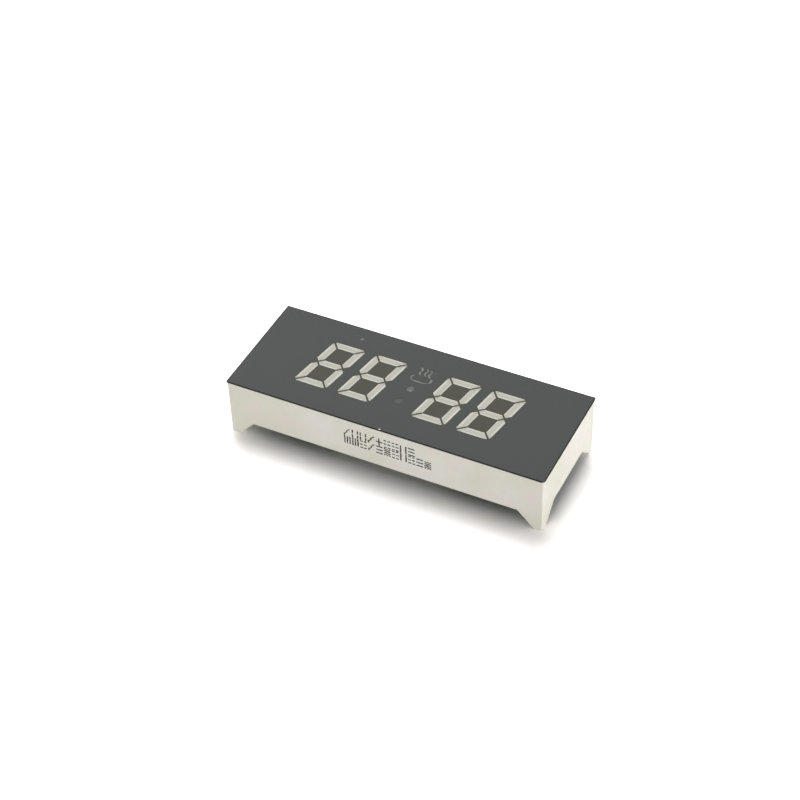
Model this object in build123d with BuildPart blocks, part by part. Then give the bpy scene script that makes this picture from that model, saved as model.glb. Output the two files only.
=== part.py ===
from build123d import *
import math
import os

# A four-digit seven-segment clock display. Millimetres, +Z up. The origin is the middle of the plane
# that the four feet stand on; +X runs along the row of digits and the face looks up.

# Outline
length = 50.3
width = 19.0
height = 9.8  # from the feet to the front of the film

# Housing
film_lip = 0.1  # the film stands past the walls by this much
wall = 1.0
corner_radius = 0.2
inner_corner_radius = 0.5
face_plate = 1.3  # moulded plate behind the film
stand_height = 2.7  # the feet lift the lower edge of the walls this far

# Feet: each corner ends in a flat tip, with a slope beside it that forms the end of a notch
foot_tip_x = 1.25
foot_run_x = 2.6
foot_tip_y = 1.4
foot_run_y = 2.75
foot_rounding = 0.4

# Film over the face
film_thickness = 0.2
film_corner_radius = 0.15
blunt_corner_radius = 0.6  # at the right front
guide_recess = 0.04  # a light guide stops this far below the front of the film

# Digits
digit_height = 9.9
digit_width = 5.35
stroke = 1.2
segment_gap = 0.25
corner_cut = 0.5
slant = 10.0  # degrees
digit_pitch = 7.0
middle_pitch = 11.9  # between the two digits beside the colon
cell_share = 0.45  # a light cell narrows to this share of its outline at the board
block_margin = 0.75  # plastic round the outermost cells

# Colon
dot_radius = 0.57
upper_dot = (0.1, 0.15)
lower_dot = (-0.35, -2.8)
dot_cell_radius = 0.8
dot_cell_foot_radius = 0.65

# Symbol above the colon: a dish with steam rising from it
icon_line = 0.28
icon_cell_width = 3.8
icon_cell_height = 3.55
icon_centre = (0.55, 3.63)
icon_cell_share = 0.6
icon_die_spacing = 1.2
dish = [(-0.84, 3.18), (-1.04, 2.67), (-0.61, 2.06), (1.34, 2.06), (2.1, 2.5), (2.08, 3.13)]
dish_corner_radius = 0.25
steam = [((-0.35, 4.98), (0.09, 3.5)), ((0.5, 5.14), (0.85, 3.62)), ((1.13, 4.98), (1.6, 3.5))]
steam_bow = 0.16

# Circuit board
board_thickness = 1.0
board_recess = 0.4  # the board's underside stands this far inside the lower edge of the walls
board_clearance = 0.1
pad_thickness = 0.035

# Heat stakes that hold the board
stake_inset_x = 4.65
stake_inset_y = 3.3
stake_radius = 0.6
stake_clearance = 0.05
stake_head_radius = 1.0
stake_head_height = 0.55
boss_radius = 1.2
rib = 0.8
rib_inset_x = 9.65
rib_pitch_x = 6.0

# Leads
leads_per_row = 7
lead_pitch = 2.54
lead_row_spacing = 12.7
lead_radius = 0.25
lead_square = 0.5  # the part that grips the board is square
lead_tip = 0.3  # the leads stop this far above the feet
lead_chamfer = 0.08
collar_radius = 0.45
collar_height = 0.25
collar_clearance = 0.15
lead_hole_radius = 0.4
lead_pad_radius = 0.85
solder_foot_radius = 0.75
solder_tip_radius = 0.4
solder_height = 0.7
solder_hollow = 0.35  # where the middle of the solder's hollow curve lies, as a share of its width and height
square_overhang = 0.05  # the square part of a lead passes the solder by this much

# Dies and their wires
die_size = 0.3
die_height = 0.2
bond_span = 0.7  # from the middle of the die to the foot of its wire
wire_radius = 0.0175
die_pad = 0.5
wire_pad = 0.3

# Levels
housing_top = height - film_thickness
plate_back = housing_top - face_plate
board_bottom = stand_height + board_recess
board_top = board_bottom + board_thickness
guide_top = height - guide_recess

lean_rate = math.tan(math.radians(slant))
digit_centres = [
    -middle_pitch / 2 - digit_pitch,
    -middle_pitch / 2,
    middle_pitch / 2,
    middle_pitch / 2 + digit_pitch,
]
block_length = 2 * (digit_centres[-1] + digit_width / 2 + digit_height / 2 * lean_rate + block_margin)
block_width = digit_height + 2 * block_margin
housing_length = length - 2 * film_lip
housing_width = width - 2 * film_lip
cavity_length = housing_length - 2 * wall
cavity_width = housing_width - 2 * wall
board_length = cavity_length - 2 * board_clearance
board_width = cavity_width - 2 * board_clearance
stake_places = GridLocations(length - 2 * stake_inset_x, width / 2 - stake_inset_y, 2, 3)
lead_row_places = [((i - (leads_per_row - 1) / 2) * lead_pitch, 0) for i in range(leads_per_row)]

os.makedirs("parts", exist_ok=True)


def leaned(points, centre):
    """Points about a centre, leaned to the right by the slant of the digits."""
    return [(centre[0] + x + y * lean_rate, centre[1] + y) for x, y in points]


def middle_of(points):
    """The middle of a list of points."""
    return (sum(x for x, y in points) / len(points), sum(y for x, y in points) / len(points))


def narrowed(points, share):
    """The outline drawn in towards the middle of its points."""
    middle = middle_of(points)
    return [(middle[0] + share * (x - middle[0]), middle[1] + share * (y - middle[1])) for x, y in points]


def digit_segments():
    """Corners of the seven segments of an upright digit about its centre, with the way each one runs."""
    side = digit_width / 2
    top = digit_height / 2
    mitre = segment_gap / 2 * math.sqrt(2)
    far = (corner_cut + mitre) / 2
    near = (corner_cut - mitre) / 2
    bar = [
        (-side + corner_cut, top),
        (side - corner_cut, top),
        (side - far, top - near),
        (side - stroke - mitre, top - stroke),
        (-side + stroke + mitre, top - stroke),
        (-side + far, top - near),
    ]
    post = [
        (-side, top - corner_cut),
        (-side + near, top - far),
        (-side + stroke, top - stroke - mitre),
        (-side + stroke, stroke / 2 + mitre),
        (-side + stroke / 2, mitre),
        (-side, stroke / 2 + mitre),
    ]
    middle_bar = [
        (-side + stroke / 2 + mitre, 0),
        (-side + stroke + mitre, stroke / 2),
        (side - stroke - mitre, stroke / 2),
        (side - stroke / 2 - mitre, 0),
        (side - stroke - mitre, -stroke / 2),
        (-side + stroke + mitre, -stroke / 2),
    ]
    upright = 90 - slant
    return {
        "a": (bar, 0),
        "b": ([(-x, y) for x, y in post], upright),
        "c": ([(-x, -y) for x, y in post], upright),
        "d": ([(x, -y) for x, y in bar], 0),
        "e": ([(x, -y) for x, y in post], upright),
        "f": (post, upright),
        "g": (middle_bar, 0),
    }


# A seat is where one die and its wire stand on the board: (x, y, angle of the wire in degrees)
segment_outlines = {}
segment_seats = {}
for digit, centre_x in enumerate(digit_centres, start=1):
    for letter, (corners, angle) in digit_segments().items():
        outline = leaned(corners, (centre_x, 0))
        segment_outlines[digit, letter] = outline
        segment_seats[digit, letter] = (*middle_of(outline), angle)

dot_seats = {"upper": (*upper_dot, 0), "lower": (*lower_dot, 0)}
icon_corners = [
    (-icon_cell_width / 2, -icon_cell_height / 2),
    (icon_cell_width / 2, -icon_cell_height / 2),
    (icon_cell_width / 2, icon_cell_height / 2),
    (-icon_cell_width / 2, icon_cell_height / 2),
]
icon_outline = leaned(icon_corners, icon_centre)
icon_seats = [(icon_centre[0] + side * icon_die_spacing / 2, icon_centre[1], 90) for side in (-1, 1)]


def wall_profile(span, tip, run):
    """Side view of a wall that spans two feet, with the corners of the feet and the notch rounded."""
    edge = span / 2
    with BuildSketch() as profile:
        Polygon(
            (-edge - wall, 0),
            (-edge + tip, 0),
            (-edge + tip + run, stand_height),
            (edge - tip - run, stand_height),
            (edge - tip, 0),
            (edge + wall, 0),
            (edge + wall, height),
            (-edge - wall, height),
            align=None,
        )
        fillet(profile.vertices().filter_by(lambda corner: abs(corner.X) < edge), foot_rounding)
    return profile.sketch


def seat_plane(seat):
    """Upright plane through a seat: its x runs along the wire and its y is up from the board."""
    along = math.radians(seat[2])
    return Plane(
        origin=(seat[0], seat[1], board_top),
        x_dir=(math.cos(along), math.sin(along), 0),
        z_dir=(math.sin(along), -math.cos(along), 0),
    )


def die_on(seat):
    """One light-emitting die, standing on its pad."""
    centre = seat_plane(seat).from_local_coords((-bond_span / 2, 0, 0))
    with BuildPart() as die:
        with BuildSketch(Plane(origin=centre)):
            Rectangle(die_size, die_size, rotation=seat[2])
        extrude(amount=die_height)
    return die.part


def wire_on(seat):
    """A fine wire that rises from its pad and comes over in a half circle to the top of the die."""
    plane = seat_plane(seat)
    half = bond_span / 2
    with BuildPart() as wire:
        with BuildLine(plane):
            Line((half, 0), (half, die_height))
            ThreePointArc((half, die_height), (0, die_height + half), (-half, die_height))
        with BuildSketch(Plane(origin=plane.from_local_coords((half, 0, 0)))):
            Circle(wire_radius)
        sweep()
    return wire.part


def pad_outlines(seats):
    """Sketch, at the board's face, of a square pad below each die and a smaller one below each wire."""
    with BuildSketch(Plane.XY.offset(board_top)) as pads:
        for seat in seats:
            plane = seat_plane(seat)
            die_place = plane.from_local_coords((-bond_span / 2, 0, 0))
            wire_place = plane.from_local_coords((bond_span / 2, 0, 0))
            with Locations((die_place.X, die_place.Y)):
                Rectangle(die_pad, die_pad, rotation=seat[2])
            with Locations((wire_place.X, wire_place.Y)):
                Rectangle(wire_pad, wire_pad, rotation=seat[2])
    return pads.sketch


def light_cell(outline, share):
    """The tapered space of one light cell, from the board up to the face."""
    with BuildPart() as cell:
        with BuildSketch(Plane.XY.offset(board_top)):
            Polygon(*narrowed(outline, share), align=None)
        with BuildSketch(Plane.XY.offset(housing_top)):
            Polygon(*outline, align=None)
        loft(ruled=True)
    return cell.part


def dot_cell(centre):
    """The round light cell of one dot of the colon."""
    with BuildPart() as cell:
        with BuildSketch(Plane.XY.offset(board_top)):
            with Locations(centre):
                Circle(dot_cell_foot_radius)
        with BuildSketch(Plane.XY.offset(housing_top)):
            with Locations(centre):
                Circle(dot_cell_radius)
        loft()
    return cell.part


def icon_lines():
    """Sketch, at the face, of the dish and the three strokes of steam as rounded lines."""
    with BuildSketch(Plane.XY.offset(housing_top)) as lines:
        with BuildLine():
            bowl = FilletPolyline(*dish, radius=dish_corner_radius)
            offset(bowl, amount=icon_line / 2, mode=Mode.REPLACE)
        make_face()
        for start, end in steam:
            middle = ((start[0] + end[0]) / 2, (start[1] + end[1]) / 2)
            with BuildLine():
                SagittaArc(start, middle, steam_bow)
                SagittaArc(middle, end, -steam_bow)
                offset(amount=icon_line / 2, mode=Mode.REPLACE)
            make_face()
    return lines.sketch


def save(piece, name):
    """Label a finished piece and write it as one STEP file."""
    piece.label = name
    export_step(piece, f"parts/{name}.step")


def save_group(members, name):
    """Write small like pieces as one node of separate solids."""
    with BuildPart() as group:
        for member in members:
            add(member)
    save(group.part, name)


# Light cells, which are the same spaces that the epoxy guides fill
segment_cells = {key: light_cell(outline, cell_share) for key, outline in segment_outlines.items()}
dot_cells = {name: dot_cell(seat[:2]) for name, seat in dot_seats.items()}
icon_cell = light_cell(icon_outline, icon_cell_share)
icon_sketch = icon_lines()

# Heat stake: a pin through the board with a melted button head below it
with BuildPart() as heat_stake:
    with BuildSketch(Plane.XZ):
        with BuildLine():
            Polyline(
                (0, board_bottom - stake_head_height),
                (0, board_top),
                (stake_radius, board_top),
                (stake_radius, board_bottom),
                (stake_head_radius, board_bottom),
            )
            JernArc(
                start=(0, board_bottom - stake_head_height),
                tangent=(1, 0),
                radius=(stake_head_radius**2 + stake_head_height**2) / (2 * stake_head_height),
                arc_size=2 * math.degrees(math.atan(stake_head_height / stake_head_radius)),
            )
        make_face()
    revolve(axis=Axis.Z)

# Reflector housing
with BuildPart() as reflector_housing:
    with BuildSketch(Plane.XY):
        RectangleRounded(housing_length, housing_width, corner_radius)
    extrude(amount=housing_top)
    with BuildSketch(Plane.XY):
        RectangleRounded(cavity_length, cavity_width, inner_corner_radius)
    extrude(amount=plate_back, mode=Mode.SUBTRACT)
    with BuildSketch(Plane.XZ):
        add(wall_profile(housing_length, foot_tip_x, foot_run_x))
    extrude(amount=width, both=True, mode=Mode.INTERSECT)
    with BuildSketch(Plane.YZ):
        add(wall_profile(housing_width, foot_tip_y, foot_run_y))
    extrude(amount=length, both=True, mode=Mode.INTERSECT)
    with BuildSketch(Plane.XY.offset(board_top)):
        Rectangle(block_length, block_width)
        Rectangle(cavity_length, rib)
        with GridLocations(length - 2 * stake_inset_x, 1, 2, 1):
            Rectangle(rib, cavity_width)
        with GridLocations(2 * rib_inset_x, 1, 2, 1):
            Rectangle(rib, cavity_width)
        with GridLocations(2 * (rib_inset_x + rib_pitch_x), 1, 2, 1):
            Rectangle(rib, cavity_width)
        with stake_places:
            Circle(boss_radius)
    extrude(amount=plate_back - board_top)
    with BuildSketch(Plane.XY.offset(board_top)):
        for side in (-1, 1):
            with Locations(*[(x, side * lead_row_spacing / 2) for x, y in lead_row_places]):
                Circle(collar_radius + collar_clearance)
    extrude(amount=collar_height + collar_clearance, mode=Mode.SUBTRACT)
    with stake_places:
        add(heat_stake.part)
    for cell in [*segment_cells.values(), *dot_cells.values(), icon_cell]:
        add(cell, mode=Mode.SUBTRACT)
save(reflector_housing.part, "reflector_housing")

# Film over the face, open over each segment, each dot and each line of the symbol
with BuildPart() as face_film:
    with BuildSketch(Plane.XY.offset(housing_top)) as film_sketch:
        Rectangle(length, width)
        fillet(film_sketch.vertices().sort_by(lambda corner: corner.X - corner.Y)[-1], blunt_corner_radius)
        sharp = film_sketch.vertices().filter_by(lambda corner: corner.X < 0 or corner.Y > 0)
        fillet(sharp, film_corner_radius)
        for outline in segment_outlines.values():
            Polygon(*outline, align=None, mode=Mode.SUBTRACT)
        with Locations(upper_dot, lower_dot):
            Circle(dot_radius, mode=Mode.SUBTRACT)
        add(icon_sketch, mode=Mode.SUBTRACT)
    extrude(amount=film_thickness)
save(face_film.part, "face_film")

# Dies and their wires, by digit
for digit in range(1, len(digit_centres) + 1):
    seats = [seat for key, seat in segment_seats.items() if key[0] == digit]
    save_group([die_on(seat) for seat in seats], f"digit_{digit}_dies")
    save_group([wire_on(seat) for seat in seats], f"digit_{digit}_bond_wires")
save_group([die_on(seat) for seat in dot_seats.values()], "colon_dies")
save_group([wire_on(seat) for seat in dot_seats.values()], "colon_bond_wires")
save_group([die_on(seat) for seat in icon_seats], "icon_dies")
save_group([wire_on(seat) for seat in icon_seats], "icon_bond_wires")

# Light guides: clear epoxy cast in the cell, round the die and its wire, up through the film
for (digit, letter), outline in segment_outlines.items():
    seat = segment_seats[digit, letter]
    with BuildPart() as segment_guide:
        add(segment_cells[digit, letter])
        with BuildSketch(Plane.XY.offset(housing_top)):
            Polygon(*outline, align=None)
        extrude(amount=guide_top - housing_top)
        add(die_on(seat), mode=Mode.SUBTRACT)
        add(wire_on(seat), mode=Mode.SUBTRACT)
    save(segment_guide.part, f"digit_{digit}_segment_{letter}")

for name, seat in dot_seats.items():
    with BuildPart() as dot_guide:
        add(dot_cells[name])
        with BuildSketch(Plane.XY.offset(housing_top)):
            with Locations(seat[:2]):
                Circle(dot_radius)
        extrude(amount=guide_top - housing_top)
        add(die_on(seat), mode=Mode.SUBTRACT)
        add(wire_on(seat), mode=Mode.SUBTRACT)
    save(dot_guide.part, f"colon_dot_{name}")

with BuildPart() as icon_guide:
    add(icon_cell)
    add(icon_sketch)
    extrude(amount=guide_top - housing_top)
    for seat in icon_seats:
        add(die_on(seat), mode=Mode.SUBTRACT)
        add(wire_on(seat), mode=Mode.SUBTRACT)
save(icon_guide.part, "icon_light_guide")

# Circuit board, with shallow beds for the pads so that copper and board are flush
all_seats = [*segment_seats.values(), *dot_seats.values(), *icon_seats]
pad_sketch = pad_outlines(all_seats)
lead_places = [(x, side * lead_row_spacing / 2) for side in (-1, 1) for x, y in lead_row_places]
with BuildPart() as circuit_board:
    with BuildSketch(Plane.XY.offset(board_bottom)):
        RectangleRounded(board_length, board_width, inner_corner_radius)
        with Locations(*lead_places):
            Circle(lead_hole_radius, mode=Mode.SUBTRACT)
        with stake_places:
            Circle(stake_radius + stake_clearance, mode=Mode.SUBTRACT)
    extrude(amount=board_thickness)
    add(pad_sketch)
    extrude(amount=-pad_thickness, mode=Mode.SUBTRACT)
    with BuildSketch(Plane.XY.offset(board_bottom)):
        with Locations(*lead_places):
            Circle(lead_pad_radius)
    extrude(amount=pad_thickness, mode=Mode.SUBTRACT)
save(circuit_board.part, "circuit_board")

# Pads: gold-plated squares in front, rings round the lead holes behind
with BuildPart() as board_pads:
    add(pad_sketch)
    extrude(amount=-pad_thickness)
    with BuildSketch(Plane.XY.offset(board_bottom)):
        with Locations(*lead_places):
            Circle(lead_pad_radius)
            Circle(lead_hole_radius, mode=Mode.SUBTRACT)
    extrude(amount=pad_thickness)
save(board_pads.part, "board_pads")

# One lead, on the Z axis: a round tail, a square part that grips the board, and a collar on top of it
square_from = board_bottom - solder_height - square_overhang
with BuildPart() as lead:
    with BuildSketch(Plane.XY.offset(lead_tip)):
        Circle(lead_radius)
    extrude(amount=square_from - lead_tip)
    chamfer(lead.edges().sort_by(Axis.Z)[0], lead_chamfer)
    with BuildSketch(Plane.XY.offset(square_from)):
        Rectangle(lead_square, lead_square)
    extrude(amount=board_top - square_from)
    with BuildSketch(Plane.XY.offset(board_top)):
        Circle(collar_radius)
    extrude(amount=collar_height)

# The solder of one lead: it fills the hole round the lead and runs out to the pad in a hollow curve
with BuildPart() as solder_joint:
    with BuildSketch(Plane.XZ):
        with BuildLine():
            Polyline(
                (solder_tip_radius, board_bottom - solder_height),
                (0, board_bottom - solder_height),
                (0, board_top),
                (lead_hole_radius, board_top),
                (lead_hole_radius, board_bottom),
                (solder_foot_radius, board_bottom),
            )
            ThreePointArc(
                (solder_foot_radius, board_bottom),
                (
                    solder_tip_radius + solder_hollow * (solder_foot_radius - solder_tip_radius),
                    board_bottom - solder_hollow * solder_height,
                ),
                (solder_tip_radius, board_bottom - solder_height),
            )
        make_face()
    revolve(axis=Axis.Z)
    with BuildSketch(Plane.XY.offset(board_bottom - solder_height)):
        Rectangle(lead_square, lead_square)
    extrude(amount=solder_height + board_thickness, mode=Mode.SUBTRACT)

# Two rows of leads, each with its solder
for side, row in ((-1, "front"), (1, "rear")):
    row_places = [(x, side * lead_row_spacing / 2) for x, y in lead_row_places]
    with BuildPart() as lead_row:
        with Locations(*row_places):
            add(lead.part)
    save(lead_row.part, f"lead_row_{row}")
    with BuildPart() as solder_row:
        with Locations(*row_places):
            add(solder_joint.part)
    save(solder_row.part, f"solder_joints_{row}")
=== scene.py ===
# %% [markdown]
# # A four-digit clock display
#
# The display is a small white box with a dark grey face. Every piece of it that has a shape of its own
# was modelled in CAD and arrives here as a fixed frame, in metres, standing on its four feet.
# Our job is the finish: plastic, film, epoxy, tin and gold that look right from any side, the marks of
# ink on the wall, the copper tracks under the board, and then light and a camera.
#
# The frame comes first, and all the places we need are measured from it.

# %% Load the frame
import math

import bpy
import numpy as np
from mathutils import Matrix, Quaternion, Vector


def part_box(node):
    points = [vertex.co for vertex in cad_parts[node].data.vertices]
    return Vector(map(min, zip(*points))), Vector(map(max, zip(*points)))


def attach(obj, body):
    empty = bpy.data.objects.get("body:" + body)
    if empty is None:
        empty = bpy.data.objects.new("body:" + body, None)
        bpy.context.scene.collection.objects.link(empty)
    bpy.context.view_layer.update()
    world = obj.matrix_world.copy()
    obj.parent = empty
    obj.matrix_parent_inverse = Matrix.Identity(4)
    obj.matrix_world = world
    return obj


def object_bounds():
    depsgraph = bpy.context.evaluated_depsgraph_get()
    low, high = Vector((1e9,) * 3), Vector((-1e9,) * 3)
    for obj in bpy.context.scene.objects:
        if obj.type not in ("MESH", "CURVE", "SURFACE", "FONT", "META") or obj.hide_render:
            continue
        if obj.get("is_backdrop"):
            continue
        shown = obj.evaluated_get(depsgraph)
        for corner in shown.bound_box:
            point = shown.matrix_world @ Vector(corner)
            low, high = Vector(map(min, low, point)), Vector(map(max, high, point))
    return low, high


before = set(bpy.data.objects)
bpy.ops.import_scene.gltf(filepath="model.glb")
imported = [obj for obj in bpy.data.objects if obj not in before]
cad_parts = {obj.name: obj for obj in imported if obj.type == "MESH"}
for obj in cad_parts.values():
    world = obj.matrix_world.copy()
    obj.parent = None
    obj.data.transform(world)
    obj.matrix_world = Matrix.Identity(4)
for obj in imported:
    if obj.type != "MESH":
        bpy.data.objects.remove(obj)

MM = 0.001
cad_low, cad_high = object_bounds()
print("pieces from CAD:", len(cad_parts))
print("size in mm:", [round(side / MM, 2) for side in cad_high - cad_low])

# %% [markdown]
# ## Measuring the frame
#
# A finish often needs to know where it is: where the film's edge begins, how far apart the digits
# stand, how wide a stroke is. We could type those numbers in again, but they would go stale as soon as
# the model changed. Reading them off the CAD boxes keeps both in step, so only the slant of the digits
# is given here as a number.

# %% Measure what the finishes need
SLANT = math.radians(10.0)
DIGITS = (1, 2, 3, 4)
SEGMENTS = "abcdefg"


def joint_box(names):
    """Lowest and highest corner of several CAD nodes together."""
    corners = [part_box(name) for name in names]
    lows = np.array([low for low, high in corners])
    highs = np.array([high for low, high in corners])
    return Vector(lows.min(axis=0)), Vector(highs.max(axis=0))


digit_boxes = [
    joint_box([f"digit_{digit}_segment_{letter}" for letter in SEGMENTS]) for digit in DIGITS
]
digit_middles = [(low.x + high.x) / 2 for low, high in digit_boxes]
digit_top = digit_boxes[0][1].y
bar_low, bar_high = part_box("digit_1_segment_a")
stroke = bar_high.y - bar_low.y
side_width = digit_boxes[0][1].x - digit_boxes[0][0].x
digit_half_width = side_width / 2 - digit_top * math.tan(SLANT)
_, film_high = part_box("face_film")
housing_low, housing_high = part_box("reflector_housing")
board_low, board_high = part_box("circuit_board")
print("digit middles in mm:", [round(x / MM, 2) for x in digit_middles])
print("stroke in mm:", round(stroke / MM, 2), "half width:", round(digit_half_width / MM, 2))

# %% [markdown]
# ## Shader maths as plain Python
#
# A shader is a graph of small nodes. Drawing such a graph in code takes three lines for every sum, so
# we wrap a node's output in a class that knows `+`, `-`, `*` and `abs`. An expression such as
# `1 - mask * 0.3` then adds its Math nodes by itself. Every other kind of node goes through one method,
# `node`, which sets the node's settings first and then its sockets.


# %% A socket that can be calculated with
class Sock:
    """One output of a shader node that can stand in a Python expression."""

    def __init__(self, finish, socket):
        self.finish = finish
        self.socket = socket

    def maths(self, operation, *others):
        """A Math node with this socket as its first value."""
        return self.finish.node("ShaderNodeMath", {"operation": operation}, [self, *others])

    def __add__(self, other):
        return self.maths("ADD", other)

    __radd__ = __add__

    def __mul__(self, other):
        return self.maths("MULTIPLY", other)

    __rmul__ = __mul__

    def __sub__(self, other):
        return self.maths("SUBTRACT", other)

    def __rsub__(self, other):
        return self.finish.node("ShaderNodeMath", {"operation": "SUBTRACT"}, [other, self])

    def __abs__(self):
        return self.maths("ABSOLUTE")

    def lower(self, other):
        """The smaller of two values."""
        return self.maths("MINIMUM", other)

    def higher(self, other):
        """The larger of two values."""
        return self.maths("MAXIMUM", other)


# %% [markdown]
# A node tree could be built by hand in the Shader editor, but then nobody can read why a node is
# there. `Tree` keeps the whole recipe in the text: `node` adds one node, `rays` asks what kind of ray
# is looking, and `ramp` is the smooth step that nearly every mask below is made with.


# %% A node tree
class Tree:
    """A shader node tree and the ways to add to it."""

    def __init__(self, tree):
        self.tree = tree
        self.tree.nodes.clear()

    def add(self, kind, settings=None, inputs=()):
        """Add a node, set its settings, then give each socket its value or its link."""
        node = self.tree.nodes.new(kind)
        for name, value in (settings or {}).items():
            setattr(node, name, value)
        pairs = inputs.items() if isinstance(inputs, dict) else enumerate(inputs)
        for key, value in pairs:
            self.feed(node.inputs[key], value)
        return node

    def node(self, kind, settings=None, inputs=(), output=0):
        """Add a node and hand back one of its outputs."""
        return Sock(self, self.add(kind, settings, inputs).outputs[output])

    def feed(self, socket, value):
        """Give one socket a value or a link."""
        if isinstance(value, Sock):
            self.tree.links.new(value.socket, socket)
        else:
            socket.default_value = value

    def rays(self, *kinds):
        """1 for rays of the named kinds and 0 for all others."""
        path = self.add("ShaderNodeLightPath")
        chosen = [Sock(self, path.outputs[f"Is {kind} Ray"]) for kind in kinds]
        total = chosen[0]
        for other in chosen[1:]:
            total = total.higher(other)
        return total

    def ramp(self, value, start, end, low=0.0, high=1.0):
        """`low` at `start` and `high` at `end`, with a smooth S between them."""
        return self.node(
            "ShaderNodeMapRange",
            {"interpolation_type": "SMOOTHSTEP", "clamp": True},
            {"Value": value, "From Min": start, "From Max": end, "To Min": low, "To Max": high},
        )


# %% [markdown]
# A finish is a tree with a Principled shader at its end. It can say where a point is in millimetres, so
# every pattern is given at its real size: a grain of 0.1 is a tenth of a millimetre on the object,
# whichever piece it is on.


# %% A finish
class Finish(Tree):
    """One material whose surface is a Principled shader."""

    made = []

    def __init__(self, name):
        self.material = bpy.data.materials.new(name)
        self.material.use_nodes = True
        super().__init__(self.material.node_tree)
        self.surface = self.add("ShaderNodeBsdfPrincipled")
        shader = Sock(self, self.surface.outputs["BSDF"])
        self.add("ShaderNodeOutputMaterial", inputs={"Surface": shader})
        Finish.made.append(self)

    def place(self):
        """Position on the object in millimetres, as three sockets."""
        coordinates = self.node("ShaderNodeTexCoord", output="Object")
        self.position = self.node(
            "ShaderNodeVectorMath", {"operation": "SCALE"}, {0: coordinates, "Scale": 1 / MM}
        )
        parts = self.add("ShaderNodeSeparateXYZ", inputs=[self.position])
        return [Sock(self, part) for part in parts.outputs]

    def noise(self, grain, detail=2.0, roughness=0.5, stretch=(1, 1, 1)):
        """Cloudy noise between 0 and 1, whose blobs are about `grain` millimetres across."""
        stretched = self.node(
            "ShaderNodeVectorMath", {"operation": "MULTIPLY"}, {0: self.position, 1: stretch}
        )
        return self.node(
            "ShaderNodeTexNoise",
            {"noise_dimensions": "3D"},
            {"Vector": stretched, "Scale": 1 / grain, "Detail": detail, "Roughness": roughness},
        )

    def specks(self, spacing, size):
        """1 inside small round specks and 0 outside, one speck to each cell of a Voronoi pattern."""
        distance = self.node(
            "ShaderNodeTexVoronoi",
            {"feature": "F1"},
            {"Vector": self.position, "Scale": 1 / spacing},
            output="Distance",
        )
        return self.ramp(distance, size / spacing, 0.5 * size / spacing)

    def mix(self, factor, first, second):
        """A colour between two colours."""
        sockets = {0: factor, 6: first, 7: second}
        return self.node("ShaderNodeMix", {"data_type": "RGBA"}, sockets, output=2)

    def bump(self, height, depth, strength=1.0):
        """A normal bent by a height between 0 and 1, where 1 stands `depth` millimetres high."""
        return self.node(
            "ShaderNodeBump", inputs={"Strength": strength, "Distance": depth * MM, "Height": height}
        )

    def set(self, **sockets):
        """Set sockets of the Principled shader; an underscore stands for the space in a name."""
        for name, value in sockets.items():
            self.feed(self.surface.inputs[name.replace("_", " ")], value)


# %% [markdown]
# Two small helpers. Colours are easiest to name on the screen's scale of 0 to 255, but a shader works
# in linear light, so `tone` converts them. `dress` hands a finish to pieces that came from CAD.


# %% Colours, and dressing a piece
def tone(red, green, blue):
    """A colour given on the usual screen scale of 0 to 255, as linear light."""
    shares = np.array([red, green, blue]) / 255
    linear = np.where(shares <= 0.04045, shares / 12.92, ((shares + 0.055) / 1.055) ** 2.4)
    return (*linear.tolist(), 1.0)


def dress(finish, *names):
    """Give CAD nodes a finish by their own material slots."""
    for name in names:
        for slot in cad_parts[name].material_slots:
            slot.material = finish.material


# %% [markdown]
# ## The white housing
#
# The box is injection moulded from a plastic filled with white pigment, so that it reflects the light
# of the dies. Such plastic is never a pure white: it is a little warm, it varies softly from place to
# place, and a spark-eroded mould leaves a fine grain. The grain is bump, the variation is colour.
# Handling leaves grey-green flecks near the top of one end wall, so a mask keeps them there.

# %% Finish of the housing
END_WALL_SKIN = (0.4, 0.1)
SCUFFS_FROM, SCUFFS_TO = 6.6, 9.4

housing = Finish("white_housing")
x, _, z = housing.place()
cloud = housing.noise(7.0, detail=3.0)
fleck = housing.noise(0.45, detail=4.0, roughness=0.65)
fine = housing.noise(0.12, detail=2.0)
grain = housing.noise(0.25, detail=3.0, roughness=0.6)
end_wall = housing.ramp(x, *(housing_high.x / MM - inside for inside in END_WALL_SKIN))
near_top = housing.ramp(z, SCUFFS_FROM, SCUFFS_TO)
flecks = end_wall * near_top * housing.ramp(fleck, 0.56, 0.72)
grime = housing.ramp(housing.noise(1.6, detail=5.0, roughness=0.7), 0.56, 0.78) * 0.35
rosy = housing.ramp(housing.noise(3.5, detail=3.0), 0.45, 0.7)
white = housing.mix(housing.ramp(cloud, 0.35, 0.65), tone(234, 232, 216), tone(243, 240, 230))
white = housing.mix(rosy * 0.6, white, tone(242, 230, 221))
aged = housing.mix(grime * housing.ramp(fine, 0.3, 0.75), white, tone(214, 206, 186))
housing.set(
    Base_Color=housing.mix(flecks * 0.55, aged, tone(150, 152, 140)),
    Roughness=0.42 + 0.12 * cloud,
    Normal=housing.bump(grain + fine * 0.5, 0.004, 0.5),
    Specular_IOR_Level=0.4,
    Subsurface_Weight=0.05,
    Subsurface_Radius=(1.0 * MM, 0.8 * MM, 0.6 * MM),
)
dress(housing, "reflector_housing")
print("housing finish has", len(housing.tree.nodes), "nodes")

# %% [markdown]
# ## Laying four digits over one another
#
# Film and segments both need to know how near a point is to a digit. The trick is folding: slide the
# digits upright, then use absolute values to lay all four digits, left and right halves, over one
# another. What remains is the distance from a digit's upright middle line.


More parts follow.
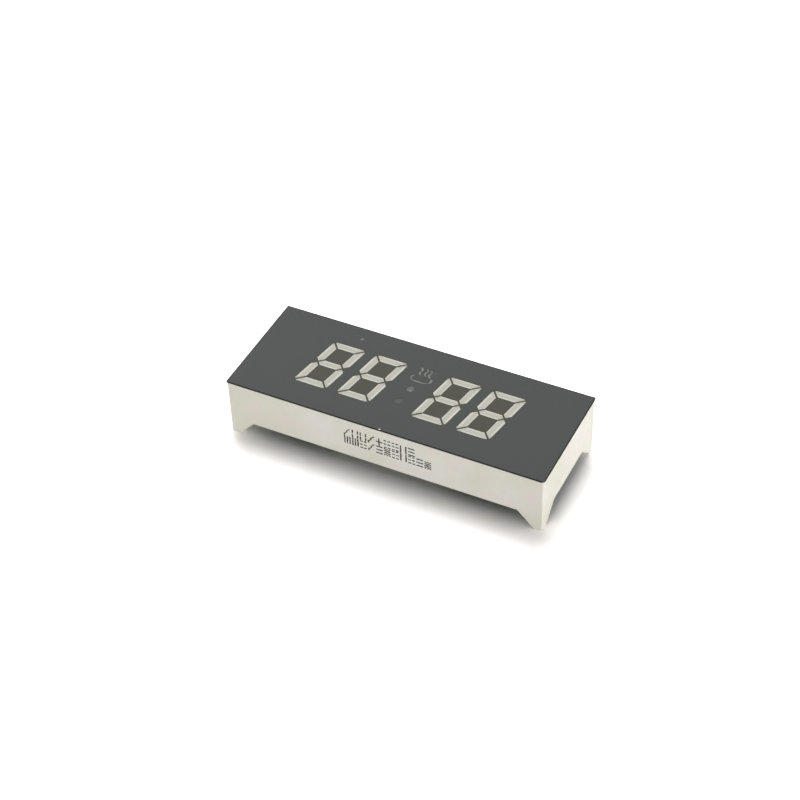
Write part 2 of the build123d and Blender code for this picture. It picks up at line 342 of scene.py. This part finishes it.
# %% Fold the digits
def from_digit_middle(x, y):
    """Distance from the upright middle of the nearest digit, in millimetres."""
    pair_middle = (digit_middles[2] + digit_middles[3]) / 2 / MM
    half_pitch = (digit_middles[3] - digit_middles[2]) / 2 / MM
    upright_x = x - y * math.tan(SLANT)
    return abs(abs(abs(upright_x) - pair_middle) - half_pitch)


# %% [markdown]
# ## The grey film
#
# The face is covered by a printed film, dull and dark grey. It hides the white plastic between the
# segments, so that an unlit segment still stands out. Looked at closely its ink has a fine even grain,
# a few grains of dust, a thin darker band along its edges, and two small blemishes, one pale smudge and
# one chip at the front edge where the white shows through.

# %% Finish of the film
SMUDGE, SMUDGE_RADIUS = (-11.25, 7.1), (0.42, 0.1)
CHIP, CHIP_RADIUS, CHIP_SQUASH = (-0.2, -9.3), (0.2, 0.14), 1.6
HALO = (0.7, -0.5)
EDGE_LINE = (-0.17, -0.06)

film = Finish("grey_film")
x, y, _ = film.place()


def distance_to(px, py, squash=1.0):
    """Distance on the face from one point, with y weighted by `squash`."""
    across = x - px
    along = (y - py) * squash
    return (across * across + along * along).maths("SQRT")


ink = film.noise(0.16, detail=2.0, roughness=0.6)
wide = film.noise(5.0, detail=2.0)
dust = film.specks(1.9, 0.09) * film.ramp(film.noise(2.6), 0.55, 0.62)
lint = film.ramp(film.noise(0.35, detail=2.0, stretch=(0.35, 2.4, 1)), 0.71, 0.8)
face = film.mix(film.ramp(ink, 0.25, 0.75), tone(73, 76, 74), tone(80, 82, 81))
face = film.mix(film.ramp(wide, 0.3, 0.7) * 0.3, face, tone(74, 78, 77))
from_digit = (from_digit_middle(x, y) - digit_half_width / MM).higher(abs(y) - digit_top / MM)
face = film.mix(film.ramp(from_digit, *HALO) * 0.85, face, tone(79, 78, 69))
face = film.mix(dust * 0.55, face, tone(150, 150, 146))
face = film.mix(lint * 0.25, face, tone(120, 122, 120))
smudge = film.ramp(distance_to(*SMUDGE) + (ink - 0.5) * 0.5, *SMUDGE_RADIUS)
face = film.mix(smudge * 0.35, face, tone(150, 152, 150))
chip = film.ramp(distance_to(*CHIP, CHIP_SQUASH) + (ink - 0.5) * 0.12, *CHIP_RADIUS)
face = film.mix(chip, face, tone(225, 222, 212))
to_side = (abs(x) - film_high.x / MM).higher(abs(y) - film_high.y / MM)
# A thin band just inside the edges of the face is made darker.
edge_band = film.ramp(to_side, *EDGE_LINE) * (1 - chip)
film.set(
    Base_Color=film.mix(edge_band, face, tone(24, 24, 22)),
    Roughness=0.6 + 0.15 * ink,
    Normal=film.bump(ink + film.noise(0.6) * 0.4, 0.003, 0.35),
    Specular_IOR_Level=0.15,
)
dress(film, "face_film")
print("film finish has", len(film.tree.nodes), "nodes")

# %% [markdown]
# ## The segments
#
# Each segment is a slug of cloudy epoxy. Its colour carries painted light and shade: a lighter rim,
# where the white walls of its cell would show, and a painted shade along its middle, over the deep
# part. To paint that we need the distance from the middle line of the stroke. Two more folds, of tops
# and bottoms, turn the folded digits into a quarter of one figure eight, where the middle lines are
# plain x and y.

# %% Finish of the segments
# Where the painted shade along a stroke's middle begins and ends, as shares of half a stroke.
SHADE_FROM, SHADE_TO = 0.78, 0.4

epoxy = Finish("pale_epoxy")
x, y, _ = epoxy.place()
post_line = abs(from_digit_middle(x, y) - (digit_half_width - stroke / 2) / MM)
quarter = (digit_top - stroke / 2) / 2 / MM
bar_line = abs(abs(abs(y) - quarter) - quarter)
half_stroke = stroke / 2 / MM
# Painted shade: this mask darkens the middle of each stroke, over the deep part of its cell.
depth = epoxy.ramp(post_line.lower(bar_line), half_stroke * SHADE_FROM, half_stroke * SHADE_TO)
haze = epoxy.noise(0.55, detail=3.0)
patch = epoxy.noise(3.2, detail=2.0)
# The lit rim tone is painted light and the shaded core tone painted shade, mixed by the mask above.
lit_rim_tone = epoxy.mix(epoxy.ramp(haze, 0.3, 0.7), tone(201, 201, 188), tone(210, 209, 199))
shaded_core_tone = epoxy.mix(epoxy.ramp(patch, 0.45, 0.7), tone(176, 175, 161), tone(184, 177, 166))
body = epoxy.mix(depth * (0.65 + 0.35 * haze), lit_rim_tone, shaded_core_tone)
epoxy.set(
    Base_Color=body,
    Roughness=0.38 + 0.1 * haze,
    Normal=epoxy.bump(haze, 0.006, 0.4),
    Specular_IOR_Level=0.4,
)
dress(epoxy, *[f"digit_{digit}_segment_{letter}" for digit in DIGITS for letter in SEGMENTS])
print("segment finish has", len(epoxy.tree.nodes), "nodes")

# %% [markdown]
# ## The dim windows
#
# The colon and the symbol above it are printed over with a smoky ink, the lower dot most of all, so
# that they almost vanish until they are lit. One recipe serves all three with different greys, so it
# is a function.


# %% Finish of the colon and the symbol
def window(name, bright, dim, middle=None, reach=1.0):
    """Cloudy epoxy seen through smoky ink, in patches between two greys.

    Where a middle is given, the patch also dims from there outwards to `reach` millimetres."""
    finish = Finish(name)
    x, y, _ = finish.place()
    smoke = finish.noise(0.3, detail=2.0)
    blot = finish.ramp(finish.noise(0.9, detail=2.0), 0.35, 0.62)
    if middle:
        across, along = x - middle.x / MM, y - middle.y / MM
        blot = blot.higher(finish.ramp((across * across + along * along).maths("SQRT"), 0.1, reach))
    finish.set(
        Base_Color=finish.mix(blot.higher(finish.ramp(smoke, 0.4, 0.8)), bright, dim),
        Roughness=0.45 + 0.1 * smoke,
        Normal=finish.bump(smoke, 0.003, 0.3),
        Specular_IOR_Level=0.3,
    )
    return finish


dot_low, dot_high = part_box("colon_dot_upper")
dot_middle = (dot_low + dot_high) / 2
dot_reach = (dot_high.x - dot_low.x) / 2 / MM
smoked = window("smoked_window", tone(138, 140, 136), tone(102, 104, 101))
smoked_dot = window("smoked_dot", tone(138, 139, 134), tone(88, 90, 88), dot_middle, dot_reach)
dark = window("dark_window", tone(76, 77, 75), tone(70, 72, 70))
dress(smoked, "icon_light_guide")
dress(smoked_dot, "colon_dot_upper")
dress(dark, "colon_dot_lower")
print("windows:", smoked.material.name, smoked_dot.material.name, dark.material.name)

# %% [markdown]
# ## Board, pads, dies and wires
#
# The board closes the box from behind. Its laminate is woven glass under a green lacquer, and the
# weave shows as a faint criss-cross: two waves at right angles, multiplied. The gold pads, the dies and
# the wires are buried in the epoxy, but each still gets the finish of its metal, for anyone who takes
# the model apart.

# %% Finish of the board
THREAD = 0.45
SKIN = 0.03

board = Finish("green_board")
x, y, z = board.place()
weave = (x * (math.pi / THREAD)).maths("SINE") * (y * (math.pi / THREAD)).maths("SINE")
cloud = board.noise(3.0, detail=3.0)
lacquer = board.mix(board.ramp(cloud, 0.3, 0.7), tone(22, 74, 48), tone(28, 84, 54))
lacquer = board.mix(board.ramp(weave, -0.6, 0.9) * 0.35, lacquer, tone(38, 96, 62))
laminate = board.mix(board.ramp(cloud, 0.3, 0.7), tone(176, 168, 120), tone(190, 180, 132))
board_middle = (board_low.z + board_high.z) / 2 / MM
half_board = (board_high.z - board_low.z) / 2 / MM
on_skin = board.ramp(abs(z - board_middle), half_board - 2 * SKIN, half_board - SKIN)
board.set(
    Base_Color=board.mix(on_skin, laminate, lacquer),
    Roughness=0.3 + 0.12 * cloud,
    Normal=board.bump(weave * 0.5 + cloud, 0.006, 0.4),
    Coat_Weight=0.3,
)
dress(board, "circuit_board")
print("board finish has", len(board.tree.nodes), "nodes")

# %% [markdown]
# Gold, tin and solder differ less than one would think: each is a bare metal with streaks or a frosty
# grain. One recipe with a colour pair, a grain size and a roughness makes all of them. The leads are
# drawn wire, so their streaks are stretched along the wire.


# %% Finishes of the metals
def metal(name, light, deep, grain, roughness, stretch=(1, 1, 1)):
    """A metal whose colour, gloss and surface follow one noise, drawn out along `stretch`."""
    finish = Finish(name)
    finish.place()
    streak = finish.noise(grain, detail=3.0, roughness=0.6, stretch=stretch)
    finish.set(
        Base_Color=finish.mix(finish.ramp(streak, 0.3, 0.7), deep, light),
        Metallic=1.0,
        Roughness=roughness + 0.2 * streak,
        Normal=finish.bump(streak, 0.004, 0.4),
    )
    return finish


gold = metal("gold_pads", tone(236, 200, 120), tone(214, 172, 92), 0.12, 0.2)
wire = metal("gold_wire", tone(240, 204, 122), tone(222, 180, 98), 0.05, 0.15)
tin = metal("tinned_lead", tone(205, 204, 200), tone(168, 167, 163), 0.15, 0.22, stretch=(3, 3, 0.6))
solder = metal("solder", tone(196, 196, 193), tone(142, 142, 140), 0.18, 0.3)
die = Finish("die")
die.place()
facet = die.noise(0.08)
die.set(
    Base_Color=die.mix(die.ramp(facet, 0.3, 0.7), tone(150, 140, 92), tone(176, 168, 120)),
    Roughness=0.25 + 0.1 * facet,
    Normal=die.bump(facet, 0.002, 0.3),
)
groups = [f"digit_{digit}" for digit in DIGITS] + ["colon", "icon"]
dress(gold, "board_pads")
dress(wire, *[f"{group}_bond_wires" for group in groups])
dress(die, *[f"{group}_dies" for group in groups])
dress(tin, "lead_row_front", "lead_row_rear")
dress(solder, "solder_joints_front", "solder_joints_rear")
print("finishes so far:", len(Finish.made))

# %% [markdown]
# ## Turning arrays into pieces
#
# New pieces are computed with numpy as whole arrays of points, and a list of faces says which points
# each face joins. This helper makes the mesh, gives it its finish, and lets the piece ride on the
# body of the display.


# %% Make a mesh piece
def new_piece(name, points, faces, finish):
    """A mesh object at the origin, with its place in its points, riding on the display."""
    mesh = bpy.data.meshes.new(name)
    mesh.from_pydata(points.tolist(), [], faces)
    mesh.materials.append(finish.material)
    mesh.validate()
    piece = bpy.data.objects.new(name, mesh)
    bpy.context.scene.collection.objects.link(piece)
    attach(piece, "root")
    print(name, "has", len(mesh.polygons), "faces")
    return piece


def prisms(outlines, back, front):
    """Closed prisms. Formula: every corner of every outline is placed once at `back` and once at
    `front`, then each outline is one cap, its mirror the other, and each edge of it one side.

    `outlines` has the shape (prisms, corners, 3), and `back` and `front` are offsets to add to it.
    """
    count, corners, _ = outlines.shape
    points = np.concatenate([outlines + back, outlines + front], axis=1).reshape(-1, 3)
    start = np.arange(count)[:, None] * 2 * corners
    ring = start + np.arange(corners)
    following = start + (np.arange(corners) + 1) % corners
    sides = np.stack([ring, following, following + corners, ring + corners], axis=-1).reshape(-1, 4)
    faces = ring[:, ::-1].tolist() + (ring + corners).tolist() + sides.tolist()
    return points, faces


# %% [markdown]
# ## The inkjet marks
#
# Such parts carry two rows of small inkjet marks on the long front wall. Here they spell nothing: each
# mark is one of a few plain shapes on a grid of five by seven dots. A shape is a rule on the row and
# the column of a dot, so a whole mark is one comparison of two small arrays, and the row of marks is a
# choice of rules from a seeded draw.

# %% Rules for the marks
DOTS_ACROSS, DOTS_UP = 5, 7
COLUMNS, ROWS = np.meshgrid(np.arange(DOTS_ACROSS), np.arange(DOTS_UP))
MARKS = [
    ROWS % 3 == 0,
    COLUMNS % 4 == 0,
    COLUMNS % 2 == 0,
    (COLUMNS + ROWS) % 2 == 0,
    (COLUMNS == 2) | (ROWS == 3),
    (COLUMNS % 4 == 0) & (ROWS != 3),
    (ROWS % 3 == 0) & (COLUMNS != 2),
    COLUMNS == ROWS * (DOTS_ACROSS - 1) // (DOTS_UP - 1),
]
print("rules:", len(MARKS))

# %% [markdown]
# A print head throws round drops, never quite in line and never quite the same size. Each dot of a mark
# is therefore a flat disc with eight corners, moved and scaled by a small seeded draw. Real geometry,
# rather than a painted mask, keeps the drops crisp from any distance.

# %% Places of the drops
MARK_HEIGHT = 1.45 * MM
MARK_PITCH = 1.28 * MM
MARK_LEFT = -5.85 * MM
ROW_BASES = (6.6 * MM, 5.05 * MM)
ROW_COUNTS = (9, 11)
DOT_SIDES = 8
DOT_FILL = 0.66
JITTER = 0.012 * MM
DOT_SIZES = (0.85, 1.1)
SEED = 7

draw = np.random.default_rng(SEED)
dot_pitch = MARK_HEIGHT / DOTS_UP
dot_radius = dot_pitch * DOT_FILL
dot_places = []
for base, count in zip(ROW_BASES, ROW_COUNTS):
    for place in range(count):
        rule = MARKS[draw.integers(len(MARKS))]
        across = MARK_LEFT + place * MARK_PITCH + COLUMNS[rule] * dot_pitch
        up = base + (ROWS[rule] + 0.5) * dot_pitch
        dot_places.append(np.stack([across, up], axis=1))
dot_places = np.concatenate(dot_places)
dot_places += draw.normal(0, JITTER, dot_places.shape)
turn = np.linspace(0, 2 * np.pi, DOT_SIDES, endpoint=False)
size = dot_radius * draw.uniform(*DOT_SIZES, (len(dot_places), 1))
dot_x = dot_places[:, :1] + size * np.cos(turn)
dot_z = dot_places[:, 1:] + size * np.sin(turn)
wall_y = np.full_like(dot_x, housing_low.y)
dots = np.stack([dot_x, wall_y, dot_z], axis=-1)
print("drops of ink:", len(dots))

# %% [markdown]
# The ink is a thin dark brown-black that soaks unevenly into the grain of the wall, so its colour and
# its gloss both follow one fine noise. The discs stand six thousandths of a millimetre proud.

# %% Print the drops
INK_THICKNESS = 0.006 * MM

black_ink = Finish("black_ink")
black_ink.place()
soak = black_ink.noise(0.1, detail=2.0)
black_ink.set(
    Base_Color=black_ink.mix(black_ink.ramp(soak, 0.35, 0.75), tone(14, 13, 12), tone(44, 42, 38)),
    Roughness=0.5 + 0.2 * soak,
)
ink_points, ink_faces = prisms(dots, (0, 0, 0), (0, -INK_THICKNESS, 0))
new_piece("inkjet_marks", ink_points, ink_faces, black_ink)

# %% [markdown]
# ## Copper tracks
#
# Under the lacquer, tracks lead from each pad to a small plated hole. A track is a low profile carried
# along a path. Its corners are mitred: at each corner the profile is turned to the half angle and
# widened by one over the cosine of that half angle, so both arms keep their width.


# %% A track from a path
SHOULDER = 0.38


def track(path, width, height, level):
    """A flat ridge below the plane z = level. Formula: each point of the path carries four profile
    points, offset sideways by the mitre direction times half the width, at depths 0, h, h and 0."""
    path = np.asarray(path, float)
    runs = np.diff(path, axis=0)
    runs /= np.linalg.norm(runs, axis=1, keepdims=True)
    before = np.vstack([runs[:1], runs])
    after = np.vstack([runs, runs[-1:]])
    along = before + after
    along /= np.linalg.norm(along, axis=1, keepdims=True)
    side = np.stack([-along[:, 1], along[:, 0]], axis=1)
    widen = 1 / np.sum(along * after, axis=1, keepdims=True)
    across = np.array([-0.5, -SHOULDER, SHOULDER, 0.5]) * width
    down = np.array([0.0, height, height, 0.0])
    flat = path[:, None, :] + side[:, None, :] * (widen * across)[:, :, None]
    depth = np.broadcast_to(level - down, flat.shape[:2])
    points = np.concatenate([flat, depth[:, :, None]], axis=2).reshape(-1, 3)
    first = np.arange(len(path) - 1)[:, None] * 4 + np.arange(4)
    wrap = np.array([1, 2, 3, 0]) - np.arange(4)
    quads = np.stack([first, first + wrap, first + wrap + 4, first + 4], axis=-1).reshape(-1, 4)
    last = 4 * (len(path) - 1)
    faces = quads.tolist() + [[3, 2, 1, 0], [last, last + 1, last + 2, last + 3]]
    return points, faces


# %% [markdown]
# Each lead gets one track. The outer leads send theirs outwards and the middle one straight in, and
# each track nearer the middle runs one step further in, so that no two cross.

# %% Lay the tracks under the board
TRACK_WIDTH = 0.35 * MM
TRACK_HEIGHT = 0.03 * MM
TRACK_STEP = 0.85 * MM
BEND = 0.8 * MM
FIRST_INWARD = 1.6 * MM
STRAIGHT_IN = 5.2 * MM
REACH, REACH_STEP, REACH_KINDS = 2.2 * MM, 1.4 * MM, 3
LEADS_PER_ROW = 7

lead_low, lead_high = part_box("lead_row_front")
collar = lead_high.y - lead_low.y
lead_xs = np.linspace(lead_low.x + collar / 2, lead_high.x - collar / 2, LEADS_PER_ROW)
row_y = -(lead_low.y + lead_high.y) / 2
via_places = []
track_points, track_faces = [], []
for side_y in (-1, 1):
    for number, lead_x in enumerate(lead_xs):
        rank = number - LEADS_PER_ROW // 2
        way = np.sign(rank)
        order = LEADS_PER_ROW // 2 - abs(rank)
        inward = row_y - (FIRST_INWARD + order * TRACK_STEP)
        kind = (number + (side_y > 0)) % REACH_KINDS
        reach = lead_x + way * (BEND + (REACH + REACH_STEP * kind))
        if rank == 0:
            path = [(lead_x, side_y * row_y), (lead_x, side_y * (row_y - STRAIGHT_IN))]
        else:
            path = [
                (lead_x, side_y * row_y),
                (lead_x, side_y * (inward + BEND)),
                (lead_x + way * BEND, side_y * inward),
                (reach, side_y * inward),
            ]
        points, faces = track(path, TRACK_WIDTH, TRACK_HEIGHT, board_low.z)
        shift = sum(len(p) for p in track_points)
        track_points.append(points)
        track_faces += [[corner + shift for corner in face] for face in faces]
        via_places.append(path[-1])
print("tracks:", len(track_points))

# %% [markdown]
# Lacquer over copper is a lighter green than lacquer over bare laminate, because the metal shines
# through. It is a little smoother as well.

# %% Finish of the tracks
covered = Finish("lacquered_copper")
covered.place()
cloud = covered.noise(1.2, detail=3.0)
covered.set(
    Base_Color=covered.mix(covered.ramp(cloud, 0.3, 0.7), tone(48, 106, 68), tone(58, 118, 76)),
    Roughness=0.26 + 0.1 * cloud,
    Normal=covered.bump(cloud, 0.004, 0.4),
    Coat_Weight=0.3,
)
new_piece("board_tracks", np.concatenate(track_points), track_faces, covered)

# %% [markdown]
# Each track ends in a plated hole: a ring that stands just proud of the lacquer, rounded like a
# doughnut. Its surface is a torus, squashed in height: the angle round the hole is one parameter and
# the angle round the rim the other.

# %% Plated holes at the ends of the tracks
RING_RADIUS = 0.27 * MM
RIM_RADIUS = 0.11 * MM
RIM_HEIGHT = 0.04 * MM
AROUND, ROUND_RIM = 20, 8


def torus_faces(around, round_rim, copies):
    """Quads of a closed grid that wraps both ways, repeated for each copy."""
    i, j = np.meshgrid(np.arange(around), np.arange(round_rim), indexing="ij")
    corner = i * round_rim + j
    right = i * round_rim + (j + 1) % round_rim
    across = ((i + 1) % around) * round_rim + (j + 1) % round_rim
    below = ((i + 1) % around) * round_rim + j
    quads = np.stack([corner, below, across, right], axis=-1).reshape(1, -1, 4)
    return (quads + np.arange(copies)[:, None, None] * around * round_rim).reshape(-1, 4)


around = np.linspace(0, 2 * np.pi, AROUND, endpoint=False)[:, None]
rim = np.linspace(0, 2 * np.pi, ROUND_RIM, endpoint=False)[None, :]
distance = RING_RADIUS + RIM_RADIUS * np.cos(rim)
ring = np.stack(
    [distance * np.cos(around), distance * np.sin(around), RIM_HEIGHT * np.sin(rim) + 0 * around],
    axis=-1,
).reshape(1, -1, 3)
centres = np.array([(*place, board_low.z) for place in via_places])[:, None, :]
via_points = (centres + ring).reshape(-1, 3)
via_faces = torus_faces(AROUND, ROUND_RIM, len(via_places)).tolist()
vias = new_piece("plated_holes", via_points, via_faces, solder)
for polygon in vias.data.polygons:
    polygon.use_smooth = True

# %% [markdown]
# ## The table
#
# The display stands on a plain white table. A white table throws so much light back that the shadow
# under the box fades. So the table has two shades: a middle grey for the light that bounces off it,
# and white for the rays that come from the camera or from a glossy surface. Further out it fades for
# those rays into plain white, so that no edge of the table shows in a low view. The background is
# white, the shadow keeps its depth, and the light on the object doesn't change.

# %% Table and its white
TABLE_SIZE = 3.0
TABLE_GREY = 0.3
TABLE_WHITE = (1.65, 1.62, 1.61)
FADE_START, FADE_END = 0.05, 0.2

table_material = bpy.data.materials.new("table_white")
table_material.use_nodes = True
paper = Tree(table_material.node_tree)
seen = paper.rays("Camera", "Glossy", "Transmission")
shades = [TABLE_GREY + seen * (white - TABLE_GREY) for white in TABLE_WHITE]
matt = paper.node("ShaderNodeBsdfDiffuse", inputs=[paper.node("ShaderNodeCombineColor", inputs=shades)])
plain = paper.node("ShaderNodeEmission", inputs={"Color": (1, 1, 1, 1), "Strength": 1.0})
spot = paper.node("ShaderNodeTexCoord", output="Object")
reach = paper.node("ShaderNodeVectorMath", {"operation": "LENGTH"}, [spot], output="Value")
far = paper.ramp(reach, FADE_START, FADE_END)
sheet = paper.node("ShaderNodeMixShader", inputs=[seen * far, matt, plain])
paper.add("ShaderNodeOutputMaterial", inputs=[sheet])
half = TABLE_SIZE / 2
corners = [(-half, -half, 0), (half, -half, 0), (half, half, 0), (-half, half, 0)]
table_mesh = bpy.data.meshes.new("table")
table_mesh.from_pydata(corners, [], [(0, 1, 2, 3)])
table_mesh.materials.append(table_material)
table = bpy.data.objects.new("table", table_mesh)
bpy.context.scene.collection.objects.link(table)
table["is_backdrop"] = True
print("table shader has", len(paper.tree.nodes), "nodes")

# %% [markdown]
# ## Light
#
# A big soft lamp above and behind the display throws its shadow to the front and the right. The room
# is brighter overhead than near the table, so that little light creeps under the box, and three low
# lamps light the walls. Light linking keeps those three off the table, so that they don't wash out the
# shadow. For the camera and for glossy surfaces the room is plain white.

# %% World and lamps
LOW_SKY, HIGH_SKY = 0.05, 0.66
SKY_RISE = (0.55, 0.95)
LAMP_DISTANCE = 0.6

world = bpy.data.worlds.new("room")
bpy.context.scene.world = world
world.use_nodes = True
sky = Tree(world.node_tree)
view = sky.node("ShaderNodeTexCoord", output="Generated")
direction = sky.add("ShaderNodeSeparateXYZ", inputs=[view])
room = sky.ramp(Sock(sky, direction.outputs["Z"]), *SKY_RISE, LOW_SKY, HIGH_SKY)
brightness = room.higher(sky.rays("Camera", "Glossy", "Transmission"))
sky.add(
    "ShaderNodeOutputWorld",
    inputs=[sky.node("ShaderNodeBackground", inputs={"Color": (1, 1, 1, 1), "Strength": brightness})],
)

middle = (cad_low + cad_high) / 2


def softbox(name, azimuth, elevation, side, power):
    """A square lamp that looks at the display from an azimuth and an elevation in degrees."""
    a, e = math.radians(azimuth), math.radians(elevation)
    away = Vector((math.sin(a) * math.cos(e), -math.cos(a) * math.cos(e), math.sin(e)))
    lamp = bpy.data.lights.new(name, "AREA")
    lamp.shape = "SQUARE"
    lamp.size = side
    lamp.energy = power
    holder = bpy.data.objects.new(name, lamp)
    holder.location = middle + away * LAMP_DISTANCE
    holder.rotation_mode = "QUATERNION"
    holder.rotation_quaternion = (-away).to_track_quat("-Z", "Y")
    holder.visible_camera = False
    bpy.context.scene.collection.objects.link(holder)
    print(name, "stands at mm", [round(value / MM) for value in holder.location])
    return holder


not_the_table = bpy.data.collections.new("not_the_table")
not_the_table.objects.link(table)
not_the_table.collection_objects[0].light_linking.link_state = "EXCLUDE"


def fill(name, azimuth, power):
    """A small low lamp that lights the walls and leaves the table out."""
    holder = softbox(name, azimuth, elevation=3.5, side=0.06, power=power)
    holder.light_linking.receiver_collection = not_the_table


softbox("key", azimuth=208, elevation=66, side=0.32, power=2.5)
fill("right_fill", azimuth=80, power=2.35)
fill("front_fill", azimuth=-15, power=1.45)
fill("back_fill", azimuth=225, power=1.9)

# %% [markdown]
# ## Camera
#
# The camera looks down on the display from the front right, with a long lens, so the far edge is
# hardly smaller than the near one. It is rolled by two degrees, as a camera held in the hand is.

# %% Camera
AZIMUTH, ELEVATION, ROLL = map(math.radians, (27.44, 42.39, -1.99))
AIM = Vector((-2.72, 2.17, 4.9)) * MM
DISTANCE = 285.2 * MM
LENS, SENSOR = 86.96, 36.0

away = Vector(
    (
        math.sin(AZIMUTH) * math.cos(ELEVATION),
        -math.cos(AZIMUTH) * math.cos(ELEVATION),
        math.sin(ELEVATION),
    )
)
lens = bpy.data.cameras.new("camera")
lens.lens = LENS
lens.sensor_width = SENSOR
lens.clip_start = 0.01
lens.clip_end = 10.0
camera = bpy.data.objects.new("camera", lens)
camera.location = AIM + away * DISTANCE
camera.rotation_mode = "QUATERNION"
camera.rotation_quaternion = (-away).to_track_quat("-Z", "Y") @ Quaternion((0, 0, 1), ROLL)
bpy.context.scene.collection.objects.link(camera)
bpy.context.scene.camera = camera
bpy.context.scene.view_settings.view_transform = "Standard"
print("camera stands at mm", [round(value / MM, 1) for value in camera.location])

# %% Measure the sizes at the end
seen_low, seen_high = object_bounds()
growth = (seen_high - seen_low) - (cad_high - cad_low)
print("grown by mm:", [round(side / MM, 4) for side in growth])
